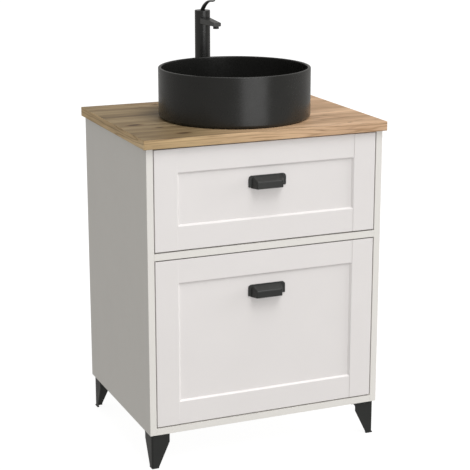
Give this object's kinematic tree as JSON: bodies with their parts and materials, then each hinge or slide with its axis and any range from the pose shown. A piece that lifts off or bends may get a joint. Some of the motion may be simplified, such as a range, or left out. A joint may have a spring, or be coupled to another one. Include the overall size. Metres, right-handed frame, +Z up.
{
  "type": "vessel sink on vanity",
  "caption": "Free-standing bathroom vanity: oak-look worktop, two framed drawers with cup pulls, corner legs, round black vessel basin and tall single-lever tap.",
  "frame": {"origin": "on the floor, in the middle of the whole footprint, pulls included", "axes": "+X to the right seen from the front, +Y to the wall, +Z up"},
  "size_m": [0.6, 0.472, 1.0418],
  "materials": {
    "oak_top": "matt oak-look laminate",
    "white_board": "white melamine-faced board",
    "back_board": "white faced hardboard",
    "white_front": "satin white foil-wrapped board",
    "drawer_board": "pale grey faced board",
    "drawer_bottom": "pale faced hardboard",
    "black_metal": "matt black powder coat",
    "black_tap": "satin black",
    "black_basin": "matt black glaze",
    "black_trim": "satin black",
    "steel": "zinc plated",
    "zinc_cam": "die-cast zinc",
    "runner_steel": "zinc plated",
    "white_plastic": "white polypropylene",
    "black_plastic": "moulded",
    "grey_plastic": "moulded",
    "rubber": "matt"
  },
  "bodies": {
    "cabinet": {"worktop": "oak_top", "side_panel_left": "white_board", "side_panel_right": "white_board", "bottom_panel": "white_board", "middle_rail": "white_board", "top_stretcher_front": "white_board", "top_stretcher_rear": "white_board", "back_panel": "back_board", "leg_front_left": "black_metal", "leg_front_right": "black_metal", "leg_rear_left": "black_metal", "leg_rear_right": "black_metal", "tap_body": "black_tap", "basin": "black_basin", "waste_body": "black_trim", "leg_screws": "steel", "worktop_screws": "steel", "cam_locks": "zinc_cam", "upper_runner_cabinet_members": "runner_steel", "lower_runner_cabinet_members": "runner_steel", "waste_nut": "white_plastic", "trap_body": "white_plastic", "trap_cup": "white_plastic", "trap_slip_nuts": "white_plastic", "trap_outlet_pipe": "white_plastic", "foot_pads": "black_plastic", "tap_back_nut": "black_plastic", "tap_aerator": "black_plastic", "tap_cartridge": "grey_plastic", "basin_seal": "rubber", "waste_washer": "rubber", "tap_base_gasket": "rubber"},
    "upper_drawer": {"upper_stile_left": "white_front", "upper_stile_right": "white_front", "upper_rail_top": "white_front", "upper_rail_bottom": "white_front", "upper_panel": "white_front", "upper_drawer_sides": "drawer_board", "upper_drawer_back": "drawer_board", "upper_notch_walls": "drawer_board", "upper_drawer_bottom": "drawer_bottom", "upper_handle": "black_metal", "upper_handle_screws": "steel", "upper_runner_drawer_members": "runner_steel"},
    "lower_drawer": {"lower_stile_left": "white_front", "lower_stile_right": "white_front", "lower_rail_top": "white_front", "lower_rail_bottom": "white_front", "lower_panel": "white_front", "lower_drawer_sides": "drawer_board", "lower_drawer_back": "drawer_board", "lower_drawer_bottom": "drawer_bottom", "lower_handle": "black_metal", "lower_handle_screws": "steel", "lower_runner_drawer_members": "runner_steel"},
    "upper_runner_slides": {"upper_runner_middle_members": "runner_steel"},
    "lower_runner_slides": {"lower_runner_middle_members": "runner_steel"},
    "tap_turning_head": {"tap_cap": "black_tap"},
    "tap_lever_arm": {"tap_lever": "black_tap"},
    "waste_plug_body": {"waste_plug": "black_trim"}
  },
  "joints": [
    {"name": "upper_drawer_slide", "type": "slide", "parent": "cabinet", "child": "upper_drawer", "axis": [0, -1, 0], "range_m": [0, 0.38]},
    {"name": "upper_runner_slide", "type": "slide", "parent": "cabinet", "child": "upper_runner_slides", "axis": [0, -1, 0], "range_m": [0, 0.19]},
    {"name": "lower_drawer_slide", "type": "slide", "parent": "cabinet", "child": "lower_drawer", "axis": [0, -1, 0], "range_m": [0, 0.38]},
    {"name": "lower_runner_slide", "type": "slide", "parent": "cabinet", "child": "lower_runner_slides", "axis": [0, -1, 0], "range_m": [0, 0.19]},
    {"name": "tap_turn", "type": "hinge", "parent": "cabinet", "child": "tap_turning_head", "pos_m": [0, 0.18, 1.004], "axis": [0, 0, 1], "range_deg": [-50, 50]},
    {"name": "tap_lift", "type": "hinge", "parent": "tap_turning_head", "child": "tap_lever_arm", "pos_m": [0, 0.18, 0.999], "axis": [-1, 0, 0], "range_deg": [0, 22]},
    {"name": "waste_plug_press", "type": "slide", "parent": "cabinet", "child": "waste_plug_body", "axis": [0, 0, 1], "range_m": [0, 0.008]}
  ],
  "couplings": [
    {"joint": "upper_runner_slide", "follows": "upper_drawer_slide", "ratio": 0.5},
    {"joint": "lower_runner_slide", "follows": "lower_drawer_slide", "ratio": 0.5}
  ]
}
